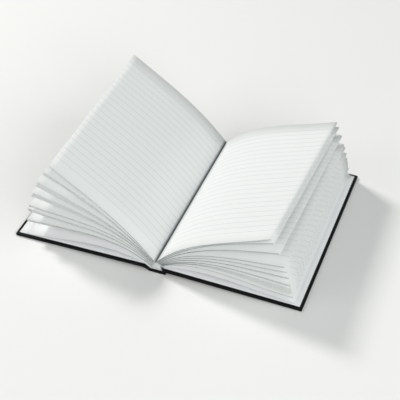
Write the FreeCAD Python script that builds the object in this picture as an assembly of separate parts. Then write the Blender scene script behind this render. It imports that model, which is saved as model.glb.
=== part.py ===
# Open hardback notebook, lying on its back with its leaves fanned up on both sides.
#
# Millimetres. +Z is up, +X points to the right-hand page and +Y to the head of the pages.
# The origin is the middle of the spine's underside, which lies on the table.
# The front cover is on the left, the back cover on the right.
import FreeCAD, Part
import math
import os

# Leaves: 80 g paper, A5, cut flush at head and tail. A sheet of the fan stands for two or three.
PAGE_WIDTH = 148.0
PAGE_HEIGHT = 210.0
LEAF_THICKNESS = 0.105
LEAVES_PER_SHEET = 2.2

# Cover boards and their cloth.
SQUARE = 3.0
BOARD_THICKNESS = 2.4
BOARD_SETBACK = 3.0
CLOTH = 0.3
TURN_IN = 15.0
CLOTH_EDGE_RADIUS = 0.25

# Spine of the case.
SPINE_CARD = 0.8
HINGE_SLIT = 0.1

# How the case lies: the boards' inner ends are held up by the folded joints.
FRONT_JOINT = 8.3
FRONT_LIFT = 3.0
BACK_OVERLAP = 3.0
BACK_LIFT = 3.4
FOLD_CLEARANCE = 0.2

# Endpapers: 120 g paper, half pasted to the board and half free.
ENDPAPER = 0.15
PASTE_INSET = 2.5
PASTE_RISER = 1.0
FLYLEAF_CLEARANCE = 0.35

# Back of the text block, glued to the left part of the spine. Its neck rises to the gutter.
BLOCK_THICKNESS = 11.0
BLOCK_INSET = 0.25
LINING = 0.3
LINING_SHORT = 6.0
GUTTER_HEIGHT = 9.9
GUTTER_FROM_LEFT = 4.2
LEFT_SHOULDER = 2.4
RIGHT_SHOULDER = 3.1
RIGHT_NECK_FOOT_HEIGHT = 6.2
RIGHT_NECK_FOOT_INSET = 1.2

# Paper that the gutter hides, out of the page's width.
LEFT_HIDDEN = 1.5
RIGHT_HIDDEN = 5.5

# Fan of the leaves, each side from its top page down. One row is a bunch that stays together:
# angle of its top sheet over the table, spread down to its last sheet, number of sheets,
# how much lower the bunch stands at the head, angle at which it leaves the gutter,
# how much flatter it ends at the fore edge. All angles are in degrees.
LEFT_FAN = [
    (41.9, 0.6, 2, 1.0, 53.5, 5.0),
    (36.9, 0.9, 3, -1.5, 50.5, 10.0),
    (30.3, 2.1, 4, -0.5, 49.8, 8.0),
    (23.7, 1.7, 3, 0.5, 48.5, 11.0),
    (16.2, 0.4, 2, 1.0, 46.5, 10.0),
    (14.4, 0.8, 2, 0.5, 44.0, 4.0),
    (8.2, 0.6, 2, 0.5, 38.0, 8.0),
]
RIGHT_FAN = [
    (31.1, 0.4, 2, 5.2, 52.0, 8.0),
    (29.3, 0.4, 2, 5.8, 48.5, 11.0),
    (24.2, 0.5, 2, 5.0, 46.0, 12.0),
    (17.5, 0.4, 2, 3.0, 43.0, 9.5),
    (15.0, 0.4, 2, 2.0, 40.0, 9.0),
    (12.2, 0.5, 2, 2.2, 36.5, 9.0),
    (8.4, 0.5, 2, 1.0, 33.5, 10.0),
    (6.5, 2.6, 4, 0.8, 32.0, 9.0),
    (2.4, 0.0, 1, 0.2, 29.0, 2.0),
]
# The two flyleaves bow up off their boards: rise at the gutter, droop at the fore edge.
FRONT_FLYLEAF_BOW = (24.0, 5.0)
BACK_FLYLEAF_BOW = (17.0, 4.0)
# How far up the block's right shoulder the back flyleaf is tipped on.
BACK_FLYLEAF_SHARE = 0.7

# Share of the chord that each leaf's end tangents reach along the curve.
TANGENT_REACH = 0.37

COVER_WIDTH = PAGE_WIDTH + SQUARE - BOARD_SETBACK
COVER_HEIGHT = PAGE_HEIGHT + 2 * SQUARE
COVER_THICKNESS = 2 * CLOTH + BOARD_THICKNESS
TAIL = -PAGE_HEIGHT / 2
HEAD = PAGE_HEIGHT / 2
COVER_TAIL = -COVER_HEIGHT / 2
COVER_HEAD = COVER_HEIGHT / 2
CARD_TOP = CLOTH + SPINE_CARD
CASE_TOP = CARD_TOP + CLOTH
BLOCK_BOTTOM = CASE_TOP + LINING

# The back joint's fold lies beside the block, on the right part of the spine.
FOLD_BOTTOM = CASE_TOP + FOLD_CLEARANCE
FOLD_RADIUS = (BACK_LIFT + CLOTH - FOLD_BOTTOM) / 2
SPINE_WIDTH = BLOCK_INSET + BLOCK_THICKNESS + 2 * FOLD_CLEARANCE + FOLD_RADIUS + BACK_OVERLAP
SPINE_END = SPINE_WIDTH / 2

BLOCK_LEFT = BLOCK_INSET - SPINE_END
BLOCK_RIGHT = BLOCK_LEFT + BLOCK_THICKNESS
GUTTER = (BLOCK_LEFT + GUTTER_FROM_LEFT, BLOCK_BOTTOM + GUTTER_HEIGHT)
LEFT_NECK_FOOT = (BLOCK_LEFT, BLOCK_BOTTOM + LEFT_SHOULDER)
RIGHT_NECK_FOOT = (BLOCK_RIGHT - RIGHT_NECK_FOOT_INSET, BLOCK_BOTTOM + RIGHT_NECK_FOOT_HEIGHT)
RIGHT_SHOULDER_POINT = (BLOCK_RIGHT, BLOCK_BOTTOM + RIGHT_SHOULDER)

SHEET_THICKNESS = LEAF_THICKNESS * LEAVES_PER_SHEET
LEFT = -1
RIGHT = 1


def vec(x, z, y=0.0):
    """Point of the XZ section, at a height y along the spine."""
    return FreeCAD.Vector(x, y, z)


def box(x0, x1, y0, y1, z0, z1):
    return Part.makeBox(x1 - x0, y1 - y0, z1 - z0, FreeCAD.Vector(x0, y0, z0))


def line(a, b):
    return Part.makeLine(a, b)


def bezier(points):
    curve = Part.BezierCurve()
    curve.setPoles(points)
    return curve.toShape()


def save(node, shape):
    shape.exportStep("parts/" + node + ".step")
    print("%-20s %d solid, valid %s, %9.1f mm3" % (node, len(shape.Solids), shape.isValid(), shape.Volume))


def leaf_outline(side, root, angle, leaving, ending, reach, thickness, y):
    """Lower and upper curve of one sheet in its section at y, as poles from the gutter outwards."""
    start_angle = math.radians(leaving)
    end_angle = math.radians(ending)
    bend_in = math.radians(leaving - angle)
    bend_out = math.radians(angle - ending)
    slack = (2 * bend_in ** 2 + 2 * bend_out ** 2 + bend_in * bend_out) / 30
    chord = reach * (1 - slack)
    across = chord * math.cos(math.radians(angle))
    tip = (root[0] + side * across, root[1] + chord * math.sin(math.radians(angle)))
    pull = chord * TANGENT_REACH
    curves = []
    for offset in (-thickness / 2, thickness / 2):
        start = (root[0] - side * offset * math.sin(start_angle), root[1] + offset * math.cos(start_angle))
        end = (tip[0] - side * offset * math.sin(end_angle), tip[1] + offset * math.cos(end_angle))
        curves.append([
            vec(start[0], start[1], y),
            vec(start[0] + side * pull * math.cos(start_angle), start[1] + pull * math.sin(start_angle), y),
            vec(end[0] - side * pull * math.cos(end_angle), end[1] - pull * math.sin(end_angle), y),
            vec(end[0], end[1], y),
        ])
    return curves


def between_points(a, b, share):
    return (a[0] + (b[0] - a[0]) * share, a[1] + (b[1] - a[1]) * share)


def fan_sheets(fan, side, neck_foot, reach, head_share, y):
    """Outlines of one side's sheets at y, from the gutter down. head_share is 0 at the tail."""
    count_all = sum(row[2] for row in fan)
    outlines = []
    for top_angle, spread, count, drop, leaving, droop in fan:
        for k in range(count):
            share = k / (count - 1) if count > 1 else 0.0
            angle = top_angle - spread * share - drop * head_share
            root = between_points(GUTTER, neck_foot, (len(outlines) + 0.5) / count_all)
            start = leaving - drop * head_share
            outlines.append(leaf_outline(side, root, angle, start, angle - droop, reach, SHEET_THICKNESS, y))
    return outlines


def block_edges(y, head_share):
    """Closed section of the text block at y, as a list of edges, clockwise from its left foot."""
    left = fan_sheets(LEFT_FAN, LEFT, LEFT_NECK_FOOT, PAGE_WIDTH - LEFT_HIDDEN, head_share, y)
    right = fan_sheets(RIGHT_FAN, RIGHT, RIGHT_NECK_FOOT, PAGE_WIDTH - RIGHT_HIDDEN, head_share, y)
    path = [(lower, upper) for lower, upper in reversed(left)] + [(upper, lower) for lower, upper in right]
    last = vec(*LEFT_NECK_FOOT, y)
    edges = [line(vec(BLOCK_LEFT, BLOCK_BOTTOM, y), last)]
    for out, back in path:
        edges.append(line(last, out[0]))
        edges.append(bezier(out))
        edges.append(line(out[3], back[3]))
        edges.append(bezier(list(reversed(back))))
        last = back[0]
    base = [(BLOCK_RIGHT, BLOCK_BOTTOM), (BLOCK_LEFT, BLOCK_BOTTOM)]
    for x, z in [RIGHT_NECK_FOOT, RIGHT_SHOULDER_POINT] + base:
        point = vec(x, z, y)
        edges.append(line(last, point))
        last = point
    return edges


def between(tail_edges, head_edges):
    """Solid between two sections with matching edges, with a ruled face from each edge to its partner."""
    faces = [Part.Face(Part.Wire(tail_edges)), Part.Face(Part.Wire(head_edges))]
    for tail_edge, head_edge in zip(tail_edges, head_edges):
        faces.append(Part.makeRuledSurface(tail_edge, head_edge))
    solid = Part.Solid(Part.makeShell(faces))
    solid.fix(0.001, 0.001, 0.001)
    if solid.Volume < 0:
        solid.reverse()
    return solid


def make_text_block():
    return between(block_edges(TAIL, 0.0), block_edges(HEAD, 1.0))


def band(lower, upper, y0, y1):
    """Sheet between two curves of the same direction, given by their poles as XZ points."""
    low = [vec(x, z, y0) for x, z in lower]
    top = [vec(x, z, y0) for x, z in upper]
    wire = Part.Wire([bezier(low), line(low[-1], top[-1]), bezier(list(reversed(top))), line(top[0], low[0])])
    return Part.Face(wire).extrude(FreeCAD.Vector(0, y1 - y0, 0))


def fuse(shapes):
    return shapes[0].multiFuse(shapes[1:]).removeSplitter()


class Cover:
    """Where a cover lies: u runs from its inner end to its fore edge, w up from its underside."""

    def __init__(self, side, inner_x, lift):
        self.side = side
        self.inner_x = inner_x
        self.lift = lift
        self.tilt = math.asin(lift / COVER_WIDTH)

    def point(self, u, w):
        x = self.inner_x + self.side * (u * math.cos(self.tilt) + w * math.sin(self.tilt))
        z = self.lift - u * math.sin(self.tilt) + w * math.cos(self.tilt)
        return (x, z)

    def slab(self, u0, u1, y0, y1, w0, w1):
        """Box in the cover's own directions, still lying flat with its inner end at x = 0."""
        ends = sorted([self.side * u0, self.side * u1])
        return box(ends[0], ends[1], y0, y1, w0, w1)

    def place(self, shape):
        placed = shape.copy()
        turn = math.degrees(self.tilt) * self.side
        placed.rotate(FreeCAD.Vector(0, 0, 0), FreeCAD.Vector(0, 1, 0), turn)
        placed.translate(FreeCAD.Vector(self.inner_x, 0, self.lift))
        return placed


FRONT = Cover(LEFT, -(SPINE_END + FRONT_JOINT), FRONT_LIFT)
BACK = Cover(RIGHT, SPINE_END - BACK_OVERLAP, BACK_LIFT)


def make_board(cover):
    """Greyboard, its edges covered by the cloth at the fore edge, head and tail."""
    inside = COVER_HEIGHT / 2 - CLOTH
    return cover.place(cover.slab(0, COVER_WIDTH - CLOTH, -inside, inside, CLOTH, CLOTH + BOARD_THICKNESS))


def wrap_cloth(cover):
    """Cloth round a board: outside, three wrapped edges and the turn-ins on the inside."""
    outer = cover.slab(0, COVER_WIDTH, COVER_TAIL, COVER_HEAD, 0, COVER_THICKNESS)
    far = cover.side * COVER_WIDTH
    wrapped = []
    for edge in outer.Edges:
        middle = edge.CenterOfMass
        at_fore_edge = abs(middle.x - far) < CLOTH
        at_end = abs(abs(middle.y) - COVER_HEAD) < CLOTH and abs(middle.x) > CLOTH
        if at_fore_edge or at_end:
            wrapped.append(edge)
    outer = outer.makeFillet(CLOTH_EDGE_RADIUS, wrapped)
    inside = COVER_HEIGHT / 2 - CLOTH
    room = cover.slab(-CLOTH, COVER_WIDTH - CLOTH, -inside, inside, CLOTH, CLOTH + BOARD_THICKNESS)
    half = COVER_HEIGHT / 2 - TURN_IN
    top = COVER_THICKNESS + CLOTH
    window = cover.slab(-CLOTH, COVER_WIDTH - TURN_IN, -half, half, BOARD_THICKNESS, top)
    return cover.place(outer.cut(room).cut(window))


def turned_ends(make, thickness):
    """The same sheet at the tail and at the head, each as wide as a turn-in or a fold."""
    return [make(COVER_TAIL, COVER_TAIL + thickness), make(COVER_HEAD - thickness, COVER_HEAD)]


FRONT_HINGE = (-SPINE_END - HINGE_SLIT, 0.0)
BACK_HINGE = (SPINE_END + HINGE_SLIT, 0.0)


def s_curve(start, end, level):
    """Poles of a cloth's fall from the board's end to the spine, level at both ends by that share."""
    run = end[0] - start[0]
    return [start, (start[0] + run * level, start[1]), (end[0] - run * level, end[1]), end]


def front_joint_top():
    """Upper face of the turned-in layer that slopes from the front board to the spine."""
    return s_curve((FRONT_HINGE[0], CASE_TOP), FRONT.point(0, COVER_THICKNESS), 0.25)


def make_front_cloth():
    """Cloth of the front cover, with the joint that is stretched out between board and spine."""
    outer_low = s_curve(FRONT_HINGE, FRONT.point(0, 0), 0.45)
    outer_top = s_curve((FRONT_HINGE[0], CLOTH), FRONT.point(0, CLOTH), 0.45)
    inner_low = s_curve((FRONT_HINGE[0], CARD_TOP), FRONT.point(0, CLOTH + BOARD_THICKNESS), 0.25)
    inner_top = front_joint_top()
    outside = band(outer_low, outer_top, COVER_TAIL, COVER_HEAD)
    turned = turned_ends(lambda y0, y1: band(inner_low, inner_top, y0, y1), TURN_IN)
    folds = turned_ends(lambda y0, y1: band(outer_low, inner_top, y0, y1), CLOTH)
    return fuse([wrap_cloth(FRONT), outside] + turned + folds)


def make_back_cloth():
    """Cloth of the back cover, with the joint folded double over the spine's edge."""
    up_x = BACK_HINGE[0] + CLOTH
    low = FOLD_BOTTOM
    end_low = BACK.point(0, 0)
    end_top = BACK.point(0, CLOTH)
    centre = vec(end_top[0], (low + end_top[1]) / 2, COVER_TAIL)
    radius = (end_top[1] - low) / 2
    full = FreeCAD.Vector(0, COVER_HEIGHT, 0)
    riser = box(BACK_HINGE[0], up_x, COVER_TAIL, COVER_HEAD, 0, low + CLOTH)
    shelf = box(centre.x, up_x, COVER_TAIL, COVER_HEAD, low, low + CLOTH)
    ring = Part.makeCylinder(radius, COVER_HEIGHT, centre, FreeCAD.Vector(0, 1, 0))
    hollow = Part.makeCylinder(radius - CLOTH, COVER_HEIGHT, centre, FreeCAD.Vector(0, 1, 0))
    half = box(centre.x - 2 * radius, centre.x, COVER_TAIL, COVER_HEAD, 0, centre.z + 2 * radius)
    bend = ring.cut(hollow).common(half)
    under_board = BACK.point(up_x - end_low[0], 0)
    corners = [(centre.x, low), (up_x, low), under_board, end_low, (centre.x, low)]
    outline = Part.makePolygon([vec(x, z, COVER_TAIL) for x, z in corners])
    wall = Part.Face(outline).extrude(FreeCAD.Vector(0, CLOTH, 0)).fuse(
        ring.common(half).common(box(0, up_x, COVER_TAIL, COVER_TAIL + CLOTH, 0, end_top[1])))
    far_wall = wall.copy()
    far_wall.translate(full - FreeCAD.Vector(0, CLOTH, 0))
    return fuse([wrap_cloth(BACK), riser, shelf, bend, wall, far_wall])


def make_spine_cloth():
    """Cloth under the spine card, turned in over the card at head and tail."""
    outer = box(-SPINE_END, SPINE_END, COVER_TAIL, COVER_HEAD, 0, CASE_TOP)
    inside = COVER_HEIGHT / 2 - CLOTH
    room = box(-SPINE_WIDTH, SPINE_WIDTH, -inside, inside, CLOTH, CARD_TOP)
    open_half = COVER_HEIGHT / 2 - TURN_IN
    window = box(-SPINE_WIDTH, SPINE_WIDTH, -open_half, open_half, CLOTH, CASE_TOP + CLOTH)
    return outer.cut(room).cut(window)


def make_spine_card():
    half = SPINE_END - CLOTH
    inside = COVER_HEIGHT / 2 - CLOTH
    return box(-half, half, -inside, inside, CLOTH, CARD_TOP)


def make_spine_lining():
    short = PAGE_HEIGHT / 2 - LINING_SHORT
    return box(BLOCK_LEFT, BLOCK_RIGHT, -short, short, CASE_TOP, BLOCK_BOTTOM)


def paste_sheet(cover, inner_riser):
    """Pasted half of an endpaper: it lies on the board and steps up over the turn-ins.

    inner_riser is the width of the step at its inner end, where it runs on over a joint.
    """
    board_top = CLOTH + BOARD_THICKNESS
    top = COVER_THICKNESS + ENDPAPER
    far = COVER_WIDTH - PASTE_INSET
    half = COVER_HEIGHT / 2 - TURN_IN
    window_end = COVER_WIDTH - TURN_IN
    raised = cover.slab(0, far, TAIL, HEAD, COVER_THICKNESS, top)
    sunk = cover.slab(0, window_end, -half, half, board_top, top)
    low = half - PASTE_RISER
    floor = board_top + ENDPAPER
    hollow = cover.slab(inner_riser, window_end - PASTE_RISER, -low, low, floor, top + ENDPAPER)
    return cover.place(fuse([raised, sunk]).cut(hollow))


def make_front_pastedown():
    """Front pastedown with the strip of it that runs down over the joint."""
    lower = front_joint_top()
    upper = [(x, z + ENDPAPER) for x, z in lower[:-1]] + [FRONT.point(0, COVER_THICKNESS + ENDPAPER)]
    return fuse([paste_sheet(FRONT, PASTE_RISER), band(lower, upper, TAIL, HEAD)])


def flyleaf(cover, root, bow, hidden):
    """Free half of an endpaper, from the block's flank to just over the pastedown's outer end."""
    rise, droop = bow
    reach = PAGE_WIDTH - hidden
    angle = 0.0
    for _ in range(4):
        tip_x = root[0] + cover.side * reach * math.cos(math.radians(angle))
        u = (tip_x - cover.inner_x) * cover.side / math.cos(cover.tilt)
        rest = cover.point(u, COVER_THICKNESS + 1.5 * ENDPAPER + FLYLEAF_CLEARANCE)[1]
        angle = math.degrees(math.asin((rest - root[1]) / reach))
    sections = []
    for y in (TAIL, HEAD):
        lower, upper = leaf_outline(cover.side, root, angle, angle + rise, angle - droop, reach, ENDPAPER, y)
        fore_edge = line(lower[3], upper[3])
        root_edge = line(upper[0], lower[0])
        sections.append([bezier(lower), fore_edge, bezier(list(reversed(upper))), root_edge])
    return between(sections[0], sections[1])


def make_front_flyleaf():
    root = (BLOCK_LEFT - ENDPAPER / 2, (BLOCK_BOTTOM + LEFT_NECK_FOOT[1]) / 2 + ENDPAPER)
    return flyleaf(FRONT, root, FRONT_FLYLEAF_BOW, LEFT_HIDDEN)


def make_back_flyleaf():
    on_neck = between_points(RIGHT_SHOULDER_POINT, RIGHT_NECK_FOOT, BACK_FLYLEAF_SHARE)
    return flyleaf(BACK, (on_neck[0] + ENDPAPER / 2, on_neck[1]), BACK_FLYLEAF_BOW, RIGHT_HIDDEN)


os.makedirs("parts", exist_ok=True)
save("text_block", make_text_block())
save("spine_lining", make_spine_lining())
save("spine_card", make_spine_card())
save("spine_cloth", make_spine_cloth())
save("front_flyleaf", make_front_flyleaf())
save("back_flyleaf", make_back_flyleaf())
save("front_board", make_board(FRONT))
save("front_cover_cloth", make_front_cloth())
save("front_pastedown", make_front_pastedown())
save("back_board", make_board(BACK))
save("back_cover_cloth", make_back_cloth())
save("back_pastedown", paste_sheet(BACK, 0))
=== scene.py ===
import math

import bmesh
import bpy
from mathutils import Matrix, Vector
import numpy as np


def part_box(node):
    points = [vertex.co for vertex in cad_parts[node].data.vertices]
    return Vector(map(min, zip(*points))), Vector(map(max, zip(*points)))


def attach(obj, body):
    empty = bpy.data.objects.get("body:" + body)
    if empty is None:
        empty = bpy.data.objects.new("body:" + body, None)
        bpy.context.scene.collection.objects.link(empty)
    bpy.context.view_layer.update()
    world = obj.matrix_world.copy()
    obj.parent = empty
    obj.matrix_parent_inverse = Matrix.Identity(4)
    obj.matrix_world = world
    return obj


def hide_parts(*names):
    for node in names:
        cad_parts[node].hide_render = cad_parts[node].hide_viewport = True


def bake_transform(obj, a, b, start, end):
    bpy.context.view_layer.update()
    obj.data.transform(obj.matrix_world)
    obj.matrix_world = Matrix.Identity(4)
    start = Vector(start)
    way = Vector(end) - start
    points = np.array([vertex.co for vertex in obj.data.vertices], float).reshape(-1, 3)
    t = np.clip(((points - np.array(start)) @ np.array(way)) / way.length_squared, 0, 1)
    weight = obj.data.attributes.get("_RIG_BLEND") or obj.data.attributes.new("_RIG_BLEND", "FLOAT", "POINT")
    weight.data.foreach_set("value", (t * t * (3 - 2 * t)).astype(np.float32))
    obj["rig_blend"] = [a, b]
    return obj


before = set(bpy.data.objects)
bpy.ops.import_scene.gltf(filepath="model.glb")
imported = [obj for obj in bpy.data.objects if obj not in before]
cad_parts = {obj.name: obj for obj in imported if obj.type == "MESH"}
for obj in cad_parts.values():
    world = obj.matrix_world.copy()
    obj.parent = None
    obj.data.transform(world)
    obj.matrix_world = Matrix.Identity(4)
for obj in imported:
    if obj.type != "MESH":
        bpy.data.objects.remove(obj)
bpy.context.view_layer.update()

# Leaves.
PAGE_WIDTH = 0.148
PAGE_HEIGHT = 0.210
LEAF_THICKNESS = 0.000105
ENDPAPER = 0.00015
LEFT_HIDDEN = 0.0015
RIGHT_HIDDEN = 0.0055
TANGENT_REACH = 0.37

# Boards, cloth and spine of the case.
SQUARE = 0.003
BOARD_THICKNESS = 0.0024
CLOTH = 0.0003
TURN_IN = 0.015
PASTE_INSET = 0.0032
PASTE_GAP = 0.00002
PASTE_SLIT = 0.0001
FRONT_JOINT = 0.0083
FRONT_LIFT = 0.0030
BACK_OVERLAP = 0.0030
BACK_LIFT = 0.0034
FOLD_CLEARANCE = 0.0002
EDGE_RADIUS = 0.0007
BOARD_TUCK = 0.0004
TURN_IN_STEP = 0.0016
# Shares of the front joint's run over which its cloth stays level at both ends.
LEVEL_UNDER = 0.45
LEVEL_OVER = 0.25

LEFT = -1
RIGHT = 1
TAIL = -PAGE_HEIGHT / 2
HEAD = PAGE_HEIGHT / 2
COVER_WIDTH = PAGE_WIDTH
COVER_HEIGHT = PAGE_HEIGHT + 2 * SQUARE
COVER_THICKNESS = 2 * CLOTH + BOARD_THICKNESS

# What the frame gives: the spine strip and the glued back of the leaves.
strip_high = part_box("spine_cloth")[1]
lining_low, lining_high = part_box("spine_lining")
SPINE_END = strip_high.x
CASE_TOP = strip_high.z
BLOCK_LEFT = lining_low.x
BLOCK_RIGHT = lining_high.x
BLOCK_BOTTOM = lining_high.z

# Neck of the glued back, from the gutter down both flanks.
GUTTER = (BLOCK_LEFT + 0.0042, BLOCK_BOTTOM + 0.0099)
LEFT_NECK_FOOT = (BLOCK_LEFT, BLOCK_BOTTOM + 0.0024)
RIGHT_NECK_FOOT = (BLOCK_RIGHT - 0.0012, BLOCK_BOTTOM + 0.0062)
GUTTER_CREVICE = 0.0003
# How far past the gutter the glued neck's mark, and so the painted gutter shade, fades out.
BOUND_FADE = 0.0003

# Bunches of leaves from the top page down: angle of the top leaf over the table, spread down to the
# last one, number of leaves, how much lower the bunch stands at the head, angle at which it leaves
# the gutter, how much flatter it ends at the fore edge. All angles are in degrees.
LEFT_FAN = [
    (41.9, 0.6, 4, 1.0, 53.5, 5.0),
    (36.9, 0.9, 7, -1.5, 50.5, 10.0),
    (30.3, 2.1, 9, -0.5, 49.8, 8.0),
    (23.7, 1.7, 8, 0.5, 48.5, 11.0),
    (16.2, 0.4, 5, 1.0, 46.5, 10.0),
    (14.4, 0.8, 6, 0.5, 44.0, 4.0),
    (8.2, 0.6, 7, 0.5, 38.0, 8.0),
]
RIGHT_FAN = [
    (31.1, 0.4, 5, 5.2, 52.0, 5.0),
    (29.3, 0.4, 5, 5.8, 48.5, 11.0),
    (24.2, 0.5, 6, 5.0, 46.0, 12.0),
    (17.5, 0.4, 5, 3.0, 43.0, 9.5),
    (15.0, 0.4, 5, 2.0, 40.0, 9.0),
    (12.2, 0.5, 6, 2.2, 36.5, 9.0),
    (8.4, 0.5, 6, 1.0, 33.5, 10.0),
    (6.5, 2.6, 9, 0.8, 32.0, 9.0),
    (2.4, 0.2, 3, 0.2, 29.0, 2.0),
]
# Each flyleaf's root on the block, chord angle, rise at the gutter and droop at the fore edge.
FRONT_FLYLEAF = ((BLOCK_LEFT - ENDPAPER / 2, BLOCK_BOTTOM + 0.00135), 0.25, 24.0, 5.0)
BACK_FLYLEAF = ((BLOCK_RIGHT - 0.00084 + ENDPAPER / 2, BLOCK_BOTTOM + 0.00527), -0.55, 17.0, 4.0)

# Ruling: pale lines from the tail up.
RULE_PITCH = 0.0082
RULE_FIRST = TAIL + 0.0157
RULE_COUNT = 23
RULE_WIDTH = 0.00045

# How far the leaves' handles reach in the glued neck, and how much shorter the upper one is.
NECK_PULL = 0.35
NECK_LEAN = 0.5

# Mesh density. Points crowd towards the gutter, where a leaf bends most.
NECK_STEPS = 6
LEAF_STEPS = 28
LEAF_CROWDING = 1.15
LEAF_ROWS = 10
JOINT_STEPS = 16
SLOPE_STEPS = 12
FOLD_STEPS = 10
PASTE_COLUMNS = 22
PASTE_ROWS = 26
ROUND_SEGMENTS = 4
ON_LINE = 1e-5

MATH = "ShaderNodeMath"
# Vertex attribute, 1 in the glued neck: the leaves' material paints shade there, and their cut edges keep the
# paper's colour there.
BOUND = "bound"


def srgb(code):
    """Linear colour from a hex code."""
    values = []
    for start in (0, 2, 4):
        part = int(code[start:start + 2], 16) / 255
        values.append(part / 12.92 if part <= 0.04045 else ((part + 0.055) / 1.055) ** 2.4)
    return (values[0], values[1], values[2], 1.0)


def finish_piece(name, bm, materials):
    """Turns a finished bmesh into an object with these materials."""
    bmesh.ops.recalc_face_normals(bm, faces=bm.faces[:])
    mesh = bpy.data.meshes.new(name)
    bm.to_mesh(mesh)
    bm.free()
    for material in materials:
        mesh.materials.append(material)
    piece = bpy.data.objects.new(name, mesh)
    bpy.context.scene.collection.objects.link(piece)
    return piece


# Materials.

def new_material(name):
    """A new material with its node tree and its shader."""
    material = bpy.data.materials.new(name)
    material.use_nodes = True
    return material, material.node_tree, material.node_tree.nodes["Principled BSDF"]


def add_node(tree, kind, values=None, links=None, **settings):
    """One node with its input values and the outputs that feed its inputs."""
    node = tree.nodes.new(kind)
    for key, value in settings.items():
        setattr(node, key, value)
    for key, value in (values or {}).items():
        node.inputs[key].default_value = value
    for key, source in (links or {}).items():
        tree.links.new(source, node.inputs[key])
    return node


def marks_in(count, span):
    """Pattern scale that puts this many marks into a span in millimetres."""
    return count * 1000 / span


def ruled_mask(tree, height):
    """1 on a ruled line, 0 between lines, from the height on the page."""
    above = add_node(tree, MATH, {1: RULE_FIRST}, {0: height}, operation="SUBTRACT").outputs[0]
    steps = add_node(tree, MATH, {1: RULE_PITCH}, {0: above}, operation="DIVIDE").outputs[0]
    nearest = add_node(tree, MATH, None, {0: steps}, operation="ROUND").outputs[0]
    off = add_node(tree, MATH, None, {0: steps, 1: nearest}, operation="SUBTRACT").outputs[0]
    away = add_node(tree, MATH, None, {0: off}, operation="ABSOLUTE").outputs[0]
    half_line = RULE_WIDTH / 2 / RULE_PITCH
    on_line = add_node(tree, MATH, {1: half_line}, {0: away}, operation="LESS_THAN").outputs[0]
    from_first = add_node(tree, MATH, {1: -0.5}, {0: nearest}, operation="GREATER_THAN").outputs[0]
    to_last = add_node(tree, MATH, {1: RULE_COUNT - 0.5}, {0: nearest}, operation="LESS_THAN").outputs[0]
    started = add_node(tree, MATH, None, {0: on_line, 1: from_first}, operation="MULTIPLY").outputs[0]
    return add_node(tree, MATH, None, {0: started, 1: to_last}, operation="MULTIPLY").outputs[0]


def paper_material(name, code, ruled):
    """Uncoated offset paper: matt, nearly white, with a faint cloudiness and a fine tooth.

    The leaves also have their pale feint ruling, and painted shade greys them where they go into the gutter.
    """
    material, tree, shader = new_material(name)
    place = add_node(tree, "ShaderNodeTexCoord").outputs["Object"]
    clouds = add_node(
        tree, "ShaderNodeTexNoise", {"Scale": marks_in(9, 100), "Detail": 3.0}, {"Vector": place})
    faint = add_node(tree, MATH, {1: 0.25}, {0: clouds.outputs["Fac"]}, operation="MULTIPLY")
    shade = add_node(
        tree, "ShaderNodeMix", {"A": srgb(code), "B": srgb("e9ecec")}, {"Factor": faint.outputs[0]},
        data_type="RGBA")
    colour = shade.outputs["Result"]
    if ruled:
        height = add_node(tree, "ShaderNodeSeparateXYZ", None, {"Vector": place}).outputs["Y"]
        ruling = add_node(
            tree, "ShaderNodeMix", {"B": srgb(RULE_COLOUR)},
            {"A": colour, "Factor": ruled_mask(tree, height)}, data_type="RGBA")
        # Painted shade: the leaves turn grey in the glued neck and just past the gutter, where little light
        # gets in between them.
        bound = add_node(tree, "ShaderNodeAttribute", attribute_name=BOUND)
        gutter = add_node(
            tree, "ShaderNodeMix", {"B": srgb(GUTTER_SHADE_COLOUR)},
            {"A": ruling.outputs["Result"], "Factor": bound.outputs["Fac"]}, data_type="RGBA")
        colour = gutter.outputs["Result"]
    tree.links.new(colour, shader.inputs["Base Color"])
    shader.inputs["Roughness"].default_value = 0.85
    shader.inputs["Specular IOR Level"].default_value = 0.25
    tooth = add_node(
        tree, "ShaderNodeTexNoise", {"Scale": marks_in(26, 10), "Detail": 2.0}, {"Vector": place})
    bump = add_node(
        tree, "ShaderNodeBump", {"Strength": 0.12, "Distance": 0.0001}, {"Height": tooth.outputs["Fac"]})
    tree.links.new(bump.outputs["Normal"], shader.inputs["Normal"])
    return material


def cut_edge_shade_material():
    """Guillotined edges of the leaves: painted shade, a noisy grey along the open fan for the dark gaps
    between them, pale where glue closes it.

    They are darker than cut paper is, so that the thin lines of shade between the leaves show at this size.
    """
    material, tree, shader = new_material("cut_paper_edge_painted_shade")
    place = add_node(tree, "ShaderNodeTexCoord").outputs["Object"]
    fibre = add_node(tree, "ShaderNodeTexNoise", {"Scale": marks_in(7, 10), "Detail": 3.0}, {"Vector": place})
    bound = add_node(tree, "ShaderNodeAttribute", attribute_name=BOUND)
    # Painted shade: both greys stand for the dark gaps between the leaves' cut edges, and the noise varies
    # the tone at random.
    edge = add_node(
        tree, "ShaderNodeMix", {"A": srgb("40484c"), "B": srgb("666f73")}, {"Factor": fibre.outputs["Fac"]},
        data_type="RGBA")
    # In the glued neck there are no gaps, so the edges keep the paper's own colour there.
    colour = add_node(
        tree, "ShaderNodeMix", {"B": srgb(PAPER_COLOUR)},
        {"A": edge.outputs["Result"], "Factor": bound.outputs["Fac"]}, data_type="RGBA")
    tree.links.new(colour.outputs["Result"], shader.inputs["Base Color"])
    shader.inputs["Roughness"].default_value = 0.9
    shader.inputs["Specular IOR Level"].default_value = 0.2
    return material


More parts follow.
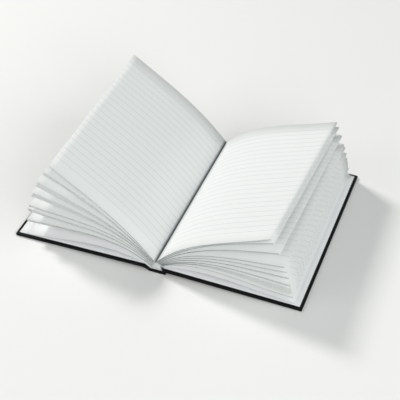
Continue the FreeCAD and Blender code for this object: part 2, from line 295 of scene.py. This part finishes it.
def cloth_material():
    """Coated black bookcloth: embossed pebbles of 0.7 mm and a low satin sheen that handling varies.

    The pebbles are too fine to show at the camera's distance. They show close up.
    """
    material, tree, shader = new_material("cover_cloth")
    place = add_node(tree, "ShaderNodeTexCoord").outputs["Object"]
    grain = add_node(tree, "ShaderNodeTexVoronoi", {"Scale": marks_in(14, 10)}, {"Vector": place})
    wear = add_node(tree, "ShaderNodeTexNoise", {"Scale": marks_in(6, 100), "Detail": 4.0}, {"Vector": place})
    tint = add_node(tree, MATH, {1: 0.6}, {0: wear.outputs["Fac"]}, operation="MULTIPLY")
    colour = add_node(
        tree, "ShaderNodeMix", {"A": srgb("030405"), "B": srgb("0a0b0c")}, {"Factor": tint.outputs[0]},
        data_type="RGBA")
    tree.links.new(colour.outputs["Result"], shader.inputs["Base Color"])
    dulled = add_node(tree, MATH, {1: 0.2}, {0: wear.outputs["Fac"]}, operation="MULTIPLY")
    rough = add_node(tree, MATH, {1: 0.55}, {0: dulled.outputs[0]}, operation="ADD")
    tree.links.new(rough.outputs[0], shader.inputs["Roughness"])
    shader.inputs["Specular IOR Level"].default_value = 0.12
    bump = add_node(
        tree, "ShaderNodeBump", {"Strength": 0.35, "Distance": 0.00012},
        {"Height": grain.outputs["Distance"]})
    tree.links.new(bump.outputs["Normal"], shader.inputs["Normal"])
    return material


def board_material(name, code):
    """Pressed recycled board: dull grey-brown, flecked with darker fibres about 1 mm apart."""
    material, tree, shader = new_material(name)
    place = add_node(tree, "ShaderNodeTexCoord").outputs["Object"]
    fibre = add_node(tree, "ShaderNodeTexNoise", {"Scale": marks_in(9, 10), "Detail": 5.0}, {"Vector": place})
    colour = add_node(
        tree, "ShaderNodeMix", {"A": srgb(code), "B": srgb("5d5852")}, {"Factor": fibre.outputs["Fac"]},
        data_type="RGBA")
    tree.links.new(colour.outputs["Result"], shader.inputs["Base Color"])
    shader.inputs["Roughness"].default_value = 0.9
    return material


def mull_material():
    """Open cotton mull stiffened with glue: off-white, with meshes of about 0.9 mm."""
    material, tree, shader = new_material("spine_mull")
    place = add_node(tree, "ShaderNodeTexCoord").outputs["Object"]
    weave = add_node(tree, "ShaderNodeTexVoronoi", {"Scale": marks_in(11, 10)}, {"Vector": place})
    colour = add_node(
        tree, "ShaderNodeMix", {"A": srgb("d9d6c9"), "B": srgb("b9b6a8")},
        {"Factor": weave.outputs["Distance"]}, data_type="RGBA")
    tree.links.new(colour.outputs["Result"], shader.inputs["Base Color"])
    shader.inputs["Roughness"].default_value = 0.9
    return material


def floor_material():
    """Matt white laminate: plain, so that only the shadow draws on it."""
    material, tree, shader = new_material("table_top")
    shader.inputs["Base Color"].default_value = srgb(FLOOR_COLOUR)
    shader.inputs["Roughness"].default_value = 0.9
    shader.inputs["Specular IOR Level"].default_value = 0.1
    return material


PAPER_COLOUR = "eff1f0"
RULE_COLOUR = "c8d0d5"
# Grey of the painted shade in the gutter.
GUTTER_SHADE_COLOUR = "747b7e"
FLOOR_COLOUR = "f2f2f1"
LEAF_PAPER = paper_material("ruled_paper", PAPER_COLOUR, True)
CUT_EDGE_SHADE = cut_edge_shade_material()
PLAIN_PAPER = paper_material("endpaper", "f0f1f2", False)
COVER_CLOTH = cloth_material()
GREYBOARD = board_material("greyboard", "7a746b")
SPINE_CARD = board_material("spine_card", "8a8378")
MULL = mull_material()


# Leaves.

def cubic(poles, share):
    """Point of a cubic curve in the XZ plane."""
    rest = 1 - share
    weights = (rest ** 3, 3 * rest ** 2 * share, 3 * rest * share ** 2, share ** 3)
    return (sum(w * p[0] for w, p in zip(weights, poles)), sum(w * p[1] for w, p in zip(weights, poles)))


def leaf_poles(side, root, leaving, angle, ending, reach):
    """Cubic from the gutter to the fore edge whose length is about reach."""
    bend_in = math.radians(leaving - angle)
    bend_out = math.radians(angle - ending)
    slack = (2 * bend_in ** 2 + 2 * bend_out ** 2 + bend_in * bend_out) / 30
    chord = reach * (1 - slack)
    pull = chord * TANGENT_REACH
    turn = math.radians(angle)
    start = math.radians(leaving)
    end = math.radians(ending)
    tip = (root[0] + side * chord * math.cos(turn), root[1] + chord * math.sin(turn))
    return [
        root,
        (root[0] + side * pull * math.cos(start), root[1] + pull * math.sin(start)),
        (tip[0] - side * pull * math.cos(end), tip[1] - pull * math.sin(end)),
        tip,
    ]


def neck_poles(side, foot, root, leaving):
    """Cubic up through the glued back, from a leaf's foot on the lining to its root."""
    pull = NECK_PULL * math.dist(foot, root)
    start = math.radians(leaving)
    return [
        foot,
        (foot[0], foot[1] + pull),
        (root[0] - side * pull * NECK_LEAN * math.cos(start), root[1] - pull * math.sin(start)),
        root,
    ]


def leaf_line(side, foot, root, leaving, angle, ending, reach):
    """Centre line of a leaf in one section, from the lining to the fore edge."""
    points = []
    if foot is not None:
        neck = neck_poles(side, foot, root, leaving)
        points = [cubic(neck, k / NECK_STEPS) for k in range(NECK_STEPS)]
    blade = leaf_poles(side, root, leaving, angle, ending, reach)
    points += [cubic(blade, (k / LEAF_STEPS) ** LEAF_CROWDING) for k in range(LEAF_STEPS + 1)]
    return points


def add_sheet(bm, tail_line, head_line, thickness, neck_columns):
    """A thin curved sheet between its section lines at tail and head.

    The first neck_columns points of a line lie in the glued neck.
    """
    columns = len(tail_line)
    made = bmesh.ops.create_grid(bm, x_segments=columns - 1, y_segments=LEAF_ROWS, size=1.0)
    bound = bm.verts.layers.float[BOUND]
    blade = [math.dist(tail_line[k], tail_line[neck_columns]) for k in range(columns)]
    for vert in made["verts"]:
        k = round((vert.co.x + 1) / 2 * (columns - 1))
        share = (vert.co.y + 1) / 2
        before, here, after = (
            Vector(tail_line[i]).lerp(Vector(head_line[i]), share)
            for i in (max(k - 1, 0), k, min(k + 1, columns - 1)))
        along = (after - before).normalized()
        up = 1 if tail_line[-1][0] > tail_line[0][0] else -1
        place = here + Vector((-along.y, along.x)) * (up * thickness / 2)
        vert.co = (place.x, TAIL + PAGE_HEIGHT * share, place.y)
        # 1 in the glued neck, fading out just past the gutter: the leaves' material paints shade there.
        vert[bound] = 1.0 if k <= neck_columns else max(1.0 - blade[k] / BOUND_FADE, 0.0)
    faces = list({face for vert in made["verts"] for face in vert.link_faces})
    if tail_line[-1][0] < tail_line[0][0]:
        bmesh.ops.reverse_faces(bm, faces=faces)
    for face in faces:
        face.normal_update()
    bmesh.ops.solidify(bm, geom=faces, thickness=thickness)


def mark_cut_edges(bm):
    """Gives the sheets' edges at tail and head the cut edge's material with its painted shade, and shades the
    rest smooth.
    """
    for face in bm.faces:
        heights = [vert.co.y for vert in face.verts]
        cut = max(heights) - min(heights) < LEAF_THICKNESS / 10
        face.smooth = not cut
        face.material_index = 1 if cut else 0


def fan_leaves(bm, fan, side, neck_foot, hidden, foot_start, foot_end):
    """All the leaves of one side, from the gutter down."""
    total = sum(row[2] for row in fan)
    gutter = Vector((GUTTER[0] + side * GUTTER_CREVICE / 2, GUTTER[1]))
    number = 0
    for top_angle, spread, count, drop, leaving, droop in fan:
        for k in range(count):
            down = (number + 0.5) / total
            root = gutter.lerp(Vector(neck_foot), down)
            foot = (foot_start + (foot_end - foot_start) * down, BLOCK_BOTTOM)
            lines = []
            for head_share in (0, 1):
                angle = top_angle - spread * k / max(count - 1, 1) - drop * head_share
                start = leaving - drop * head_share
                lines.append(leaf_line(side, foot, root, start, angle, angle - droop, PAGE_WIDTH - hidden))
            add_sheet(bm, lines[0], lines[1], LEAF_THICKNESS, NECK_STEPS)
            number += 1


def make_leaves():
    """Both fans. Their feet share the glued back in step with their numbers of leaves."""
    left_total = sum(row[2] for row in LEFT_FAN)
    right_total = sum(row[2] for row in RIGHT_FAN)
    middle = BLOCK_LEFT + (BLOCK_RIGHT - BLOCK_LEFT) * left_total / (left_total + right_total)
    sides = (
        ("left_leaves", LEFT_FAN, LEFT, LEFT_NECK_FOOT, LEFT_HIDDEN, BLOCK_LEFT),
        ("right_leaves", RIGHT_FAN, RIGHT, RIGHT_NECK_FOOT, RIGHT_HIDDEN, BLOCK_RIGHT),
    )
    for name, fan, side, neck_foot, hidden, outer in sides:
        bm = bmesh.new()
        bm.verts.layers.float.new(BOUND)
        fan_leaves(bm, fan, side, neck_foot, hidden, middle, outer)
        mark_cut_edges(bm)
        piece = finish_piece(name, bm, [LEAF_PAPER, CUT_EDGE_SHADE])
        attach(piece, "block")
        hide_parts("text_block")


def make_flyleaf(name, side, bow, hidden):
    """The free half of an endpaper, tipped on to the block's flank."""
    root, angle, rise, droop = bow
    line = leaf_line(side, None, root, angle + rise, angle, angle - droop, PAGE_WIDTH - hidden)
    bm = bmesh.new()
    bm.verts.layers.float.new(BOUND)
    add_sheet(bm, line, line, ENDPAPER, 0)
    mark_cut_edges(bm)
    piece = finish_piece(name + "_sheet", bm, [PLAIN_PAPER, CUT_EDGE_SHADE])
    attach(piece, "block")
    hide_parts(name)


# Case.

class Cover:
    """Where a cover lies: u runs from its inner end to its fore edge, w up from its underside."""

    def __init__(self, side, inner_x, lift):
        self.side = side
        self.inner_x = inner_x
        self.lift = lift
        self.tilt = math.asin(lift / COVER_WIDTH)

    def point(self, u, w):
        """Place in the XZ plane."""
        x = self.inner_x + self.side * (u * math.cos(self.tilt) + w * math.sin(self.tilt))
        return (x, self.lift - u * math.sin(self.tilt) + w * math.cos(self.tilt))


FRONT = Cover(LEFT, -(SPINE_END + FRONT_JOINT), FRONT_LIFT)
BACK = Cover(RIGHT, SPINE_END - BACK_OVERLAP, BACK_LIFT)


def s_curve(start, end, level, steps):
    """Points of a cloth's fall from start to end, level at both ends by that share of the run."""
    run = end[0] - start[0]
    poles = [start, (start[0] + run * level, start[1]), (end[0] - run * level, end[1]), end]
    return [cubic(poles, k / steps) for k in range(steps + 1)]


def round_edges(bm, wanted, radius):
    """Rounds the edges that wanted picks, and shades the round smooth."""
    bmesh.ops.recalc_face_normals(bm, faces=bm.faces[:])
    edges = [edge for edge in bm.edges if wanted(*(vert.co for vert in edge.verts))]
    made = bmesh.ops.bevel(
        bm, geom=edges, offset=radius, offset_type="OFFSET", segments=ROUND_SEGMENTS, profile=0.5,
        affect="EDGES", material=-1)
    for face in made["faces"]:
        face.smooth = True


def at_cover_end(a, b):
    """Whether an edge lies along the tail or the head of the case."""
    return min(abs(a.y), abs(b.y)) > COVER_HEIGHT / 2 - ON_LINE and a.y * b.y > 0


def along_fore_edge(a, b, far):
    """Whether an edge lies along the fore edge of a board that is centred on the origin."""
    return abs(a.x - far) < ON_LINE and abs(b.x - far) < ON_LINE


def finish_cloth(name, bm, node):
    """A piece of cover cloth that stands for this node."""
    piece = finish_piece(name, bm, [COVER_CLOTH])
    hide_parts(node)
    return piece


def sink_window(bm, cover):
    """Sinks the board's bare middle below the turned-in cloth. The cover still lies centred at z 0."""
    inner = -cover.side * (COVER_WIDTH / 2 - CLOTH)
    fore = cover.side * (COVER_WIDTH / 2 - TURN_IN)
    half = COVER_HEIGHT / 2 - TURN_IN
    cuts = [
        ((inner, 0, 0), (1, 0, 0)),
        ((fore, 0, 0), (1, 0, 0)),
        ((0, half, 0), (0, 1, 0)),
        ((0, -half, 0), (0, 1, 0)),
    ]
    for place, normal in cuts:
        everything = bm.verts[:] + bm.edges[:] + bm.faces[:]
        bmesh.ops.bisect_plane(bm, geom=everything, plane_co=place, plane_no=normal)
    low, high = sorted((inner, fore))
    window = []
    for face in bm.faces:
        middle = face.calc_center_median()
        if middle.z > COVER_THICKNESS / 2 - CLOTH / 2 and low < middle.x < high and abs(middle.y) < half:
            window.append(face)
    made = bmesh.ops.extrude_face_region(bm, geom=window)
    moved = [item for item in made["geom"] if isinstance(item, bmesh.types.BMVert)]
    bmesh.ops.delete(bm, geom=window, context="FACES")
    bmesh.ops.translate(bm, verts=moved, vec=(0, 0, -CLOTH))


def make_boards():
    """Cloth round each board, its wrapped edges and corners rounded."""
    rows = (("front_cover_cloth", FRONT, "front_cover"), ("back_cover_cloth", BACK, "back_cover"))
    for node, cover, body in rows:
        size = Matrix.Diagonal((COVER_WIDTH, COVER_HEIGHT, COVER_THICKNESS, 1.0))
        bm = bmesh.new()
        bmesh.ops.create_cube(bm, size=1.0, matrix=size)
        far = cover.side * COVER_WIDTH / 2
        round_edges(bm, lambda a, b: along_fore_edge(a, b, far) or at_cover_end(a, b), EDGE_RADIUS)
        sink_window(bm, cover)
        bmesh.ops.translate(bm, verts=bm.verts[:], vec=(far, 0, COVER_THICKNESS / 2))
        turn = Matrix.Rotation(cover.tilt * cover.side, 4, "Y")
        lay = Matrix.Translation((cover.inner_x, 0, cover.lift)) @ turn
        bmesh.ops.transform(bm, matrix=lay, verts=bm.verts[:])
        piece = finish_cloth(node + "_board", bm, node)
        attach(piece, body)


def make_front_joint():
    """Cloth stretched from the front board down to the spine."""
    bottom = s_curve((-SPINE_END, 0.0), FRONT.point(0, 0), LEVEL_UNDER, JOINT_STEPS)
    bottom.append(FRONT.point(BOARD_TUCK, CLOTH))
    top = s_curve((-SPINE_END, CASE_TOP), FRONT.point(0, COVER_THICKNESS), LEVEL_OVER, JOINT_STEPS)
    top.append(FRONT.point(BOARD_TUCK, COVER_THICKNESS - CLOTH))
    bm = bmesh.new()
    bmesh.ops.create_grid(bm, x_segments=JOINT_STEPS + 1, y_segments=1, size=1.0)
    upper = bmesh.ops.extrude_face_region(bm, geom=bm.faces[:], use_keep_orig=True)
    lifted = {item for item in upper["geom"] if isinstance(item, bmesh.types.BMVert)}
    for vert in bm.verts:
        k = round((vert.co.x + 1) / 2 * (JOINT_STEPS + 1))
        x, z = top[k] if vert in lifted else bottom[k]
        vert.co = (x, math.copysign(COVER_HEIGHT / 2, vert.co.y), z)
    for face in bm.faces:
        face.smooth = abs(face.normal.y) < 0.5
    round_edges(bm, lambda a, b: at_cover_end(a, b) and abs(a.x - b.x) > CLOTH, EDGE_RADIUS / 2)
    piece = finish_cloth("front_joint_cloth", bm, "front_cover_cloth")
    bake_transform(piece, "block", "front_cover", (-SPINE_END, 0, 0), (FRONT.point(0, 0)[0], 0, 0))


def extrude_section(outline):
    """A solid with this closed outline, as long as the covers are high."""
    bm = bmesh.new()
    verts = [bm.verts.new((x, -COVER_HEIGHT / 2, z)) for x, z in outline]
    face = bm.faces.new(verts)
    made = bmesh.ops.extrude_face_region(bm, geom=[face], use_keep_orig=True)
    moved = [item for item in made["geom"] if isinstance(item, bmesh.types.BMVert)]
    bmesh.ops.translate(bm, verts=moved, vec=(0, COVER_HEIGHT, 0))
    return bm


def make_back_joint():
    """Cloth folded double over the spine's edge, under the back board's inner end."""
    low = CASE_TOP + FOLD_CLEARANCE
    foot = BACK.point(0, CLOTH)
    radius = (foot[1] - low) / 2
    right = SPINE_END + CLOTH
    bend = []
    for k in range(1, FOLD_STEPS + 1):
        turn = math.pi * k / FOLD_STEPS
        bend.append((foot[0] - radius * math.sin(turn), low + radius + radius * math.cos(turn)))
    outline = [(right, 0.0), (right, BACK.point(right - BACK.inner_x, 0)[1]), foot] + bend
    outline += [(SPINE_END, low), (SPINE_END, 0.0)]
    piece = finish_cloth("back_joint_cloth", extrude_section(outline), "back_cover_cloth")
    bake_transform(piece, "block", "back_cover", (0, 0, low - CLOTH), (0, 0, BACK_LIFT))


def make_spine_strip():
    """Cloth round the spine's stiff strip, turned in at head and tail."""
    bm = bmesh.new()
    size = Matrix.Diagonal((2 * SPINE_END, COVER_HEIGHT, CASE_TOP, 1.0))
    bmesh.ops.create_cube(bm, size=1.0, matrix=Matrix.Translation((0, 0, CASE_TOP / 2)) @ size)
    round_edges(bm, at_cover_end, EDGE_RADIUS / 2)
    piece = finish_cloth("spine_strip", bm, "spine_cloth")
    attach(piece, "block")


def smooth_step(value, low, high):
    """A soft rise from 0 at low to 1 at high."""
    share = min(max((value - low) / (high - low), 0), 1)
    return share * share * (3 - 2 * share)


def paste_height(u, y):
    """Top of the board under the pastedown: the turn-ins show through as soft steps."""
    slack = TURN_IN_STEP / 2
    half = COVER_HEIGHT / 2 - TURN_IN
    ends = smooth_step(abs(y), half - slack, half + slack)
    fore = smooth_step(u, COVER_WIDTH - TURN_IN - slack, COVER_WIDTH - TURN_IN + slack)
    return CLOTH + BOARD_THICKNESS + CLOTH * max(ends, fore)


def spread_values(low, high, count, marks, reach):
    """Even values with extra ones close to each mark."""
    values = [low + (high - low) * k / count for k in range(count + 1)]
    for mark in marks:
        values += [mark + reach * k / 4 for k in range(-4, 5) if low < mark + reach * k / 4 < high]
    return sorted(set(round(value, 7) for value in values))


def make_pastedown(name, cover, body, with_joint):
    """Paper pasted to the board, and on the front cover down over the joint."""
    half = COVER_HEIGHT / 2 - TURN_IN
    us = spread_values(0.0, COVER_WIDTH - PASTE_INSET, PASTE_COLUMNS, [COVER_WIDTH - TURN_IN], TURN_IN_STEP)
    us.insert(1, 2 * CLOTH)
    ys = spread_values(TAIL, HEAD, PASTE_ROWS, [-half, half], TURN_IN_STEP)
    slope = []
    if with_joint:
        foot = (-SPINE_END - PASTE_SLIT, CASE_TOP)
        slope = s_curve(foot, cover.point(0, COVER_THICKNESS), LEVEL_OVER, SLOPE_STEPS)[:-1]
    columns = len(slope) + len(us)
    bm = bmesh.new()
    bmesh.ops.create_grid(bm, x_segments=columns - 1, y_segments=len(ys) - 1, size=1.0)
    for vert in bm.verts:
        k = round((vert.co.x + 1) / 2 * (columns - 1))
        y = ys[round((vert.co.y + 1) / 2 * (len(ys) - 1))]
        if k < len(slope):
            x, z = slope[k]
        else:
            u = us[k - len(slope)]
            height = COVER_THICKNESS if u == 0 else paste_height(u, y)
            x, z = cover.point(u, height)
        vert.co = (x, y, z + PASTE_GAP + ENDPAPER)
    if cover.side == LEFT:
        bmesh.ops.reverse_faces(bm, faces=bm.faces[:])
    bm.normal_update()
    bmesh.ops.solidify(bm, geom=bm.faces[:], thickness=ENDPAPER)
    for face in bm.faces:
        face.smooth = True
    piece = finish_piece(name + "_sheet", bm, [PLAIN_PAPER])
    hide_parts(name)
    if with_joint:
        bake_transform(piece, "block", body, (-SPINE_END, 0, 0), (cover.point(0, 0)[0], 0, 0))
    else:
        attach(piece, body)


def dress_hidden_nodes():
    """Inner pieces that stay as the frame gives them."""
    inner = {
        "front_board": GREYBOARD,
        "back_board": GREYBOARD,
        "spine_card": SPINE_CARD,
        "spine_lining": MULL,
    }
    for name, material in inner.items():
        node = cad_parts[name]
        node.data.materials.clear()
        node.data.materials.append(material)


# Stage.

CAMERA_PLACE = (0.31595, -0.7708, 0.7500)
CAMERA_YAW = 22.0
CAMERA_PITCH = 41.62
CAMERA_ROLL = -1.29
LENS = 92.2
WARM = (1.0, 0.975, 0.955)
COOL = (0.985, 1.0, 0.99)
# Name, place, size in metres, power and colour of each light. The first throws the shadows.
LIGHTS = [
    ("key", (-2.04, 0.87, 1.98), 0.5, 51.0, WARM),
    ("right_fill", (2.2, 0.0, 1.4), 1.6, 16.5, COOL),
    ("front_right_fill", (1.4, -1.8, 1.4), 1.6, 28.5, COOL),
    ("front_left_fill", (-1.8, -1.4, 1.4), 1.6, 13.0, WARM),
]
SKY = 0.23
SKY_COLOUR = (0.94, 1.0, 0.985, 1.0)
FLOOR_REACH = 6.0


def make_camera():
    """The camera, turned by yaw, pitch and roll to the photograph's view."""
    data = bpy.data.cameras.new("camera")
    data.lens = LENS
    data.sensor_width = 36.0
    data.clip_start = 0.01
    data.clip_end = 50.0
    camera = bpy.data.objects.new("camera", data)
    yaw, pitch, roll = (math.radians(v) for v in (CAMERA_YAW, CAMERA_PITCH, CAMERA_ROLL))
    forward = Vector((-math.sin(yaw) * math.cos(pitch), math.cos(yaw) * math.cos(pitch), -math.sin(pitch)))
    level = Vector((math.cos(yaw), math.sin(yaw), 0))
    up = level.cross(forward)
    right = level * math.cos(roll) + up * math.sin(roll)
    top = up * math.cos(roll) - level * math.sin(roll)
    turn = Matrix((right, top, -forward)).transposed().to_4x4()
    camera.matrix_world = Matrix.Translation(CAMERA_PLACE) @ turn
    bpy.context.scene.collection.objects.link(camera)
    bpy.context.scene.camera = camera


def make_light(name, place, size, power, colour):
    """A square soft light that looks at the notebook."""
    data = bpy.data.lights.new(name, "AREA")
    data.size = size
    data.energy = power
    data.color = colour
    light = bpy.data.objects.new(name, data)
    light.location = place
    light.rotation_mode = "QUATERNION"
    light.rotation_quaternion = (-Vector(place)).to_track_quat("-Z", "Y")
    bpy.context.scene.collection.objects.link(light)


def make_world():
    """White to the camera and in reflections, soft fill light otherwise."""
    world = bpy.data.worlds.new("studio")
    bpy.context.scene.world = world
    world.use_nodes = True
    tree = world.node_tree
    background = tree.nodes["Background"]
    background.inputs["Color"].default_value = SKY_COLOUR
    ray = add_node(tree, "ShaderNodeLightPath").outputs
    mirrored = add_node(
        tree, MATH, None, {0: ray["Is Camera Ray"], 1: ray["Is Glossy Ray"]}, operation="MAXIMUM")
    seen = add_node(
        tree, MATH, None, {0: mirrored.outputs[0], 1: ray["Is Transmission Ray"]}, operation="MAXIMUM")
    added = add_node(tree, MATH, {1: 1.0 - SKY}, {0: seen.outputs[0]}, operation="MULTIPLY")
    strength = add_node(tree, MATH, {1: SKY}, {0: added.outputs[0]}, operation="ADD")
    tree.links.new(strength.outputs[0], background.inputs["Strength"])


def make_stage():
    """Floor, lights, world and camera."""
    bm = bmesh.new()
    bmesh.ops.create_grid(bm, x_segments=1, y_segments=1, size=FLOOR_REACH)
    finish_piece("floor", bm, [floor_material()])
    for light in LIGHTS:
        make_light(*light)
    make_world()
    make_camera()
    bpy.context.scene.view_settings.view_transform = "Standard"


make_leaves()
make_flyleaf("front_flyleaf", LEFT, FRONT_FLYLEAF, LEFT_HIDDEN)
make_flyleaf("back_flyleaf", RIGHT, BACK_FLYLEAF, RIGHT_HIDDEN)
make_boards()
make_front_joint()
make_back_joint()
make_spine_strip()
make_pastedown("front_pastedown", FRONT, "front_cover", True)
make_pastedown("back_pastedown", BACK, "back_cover", False)
dress_hidden_nodes()
make_stage()
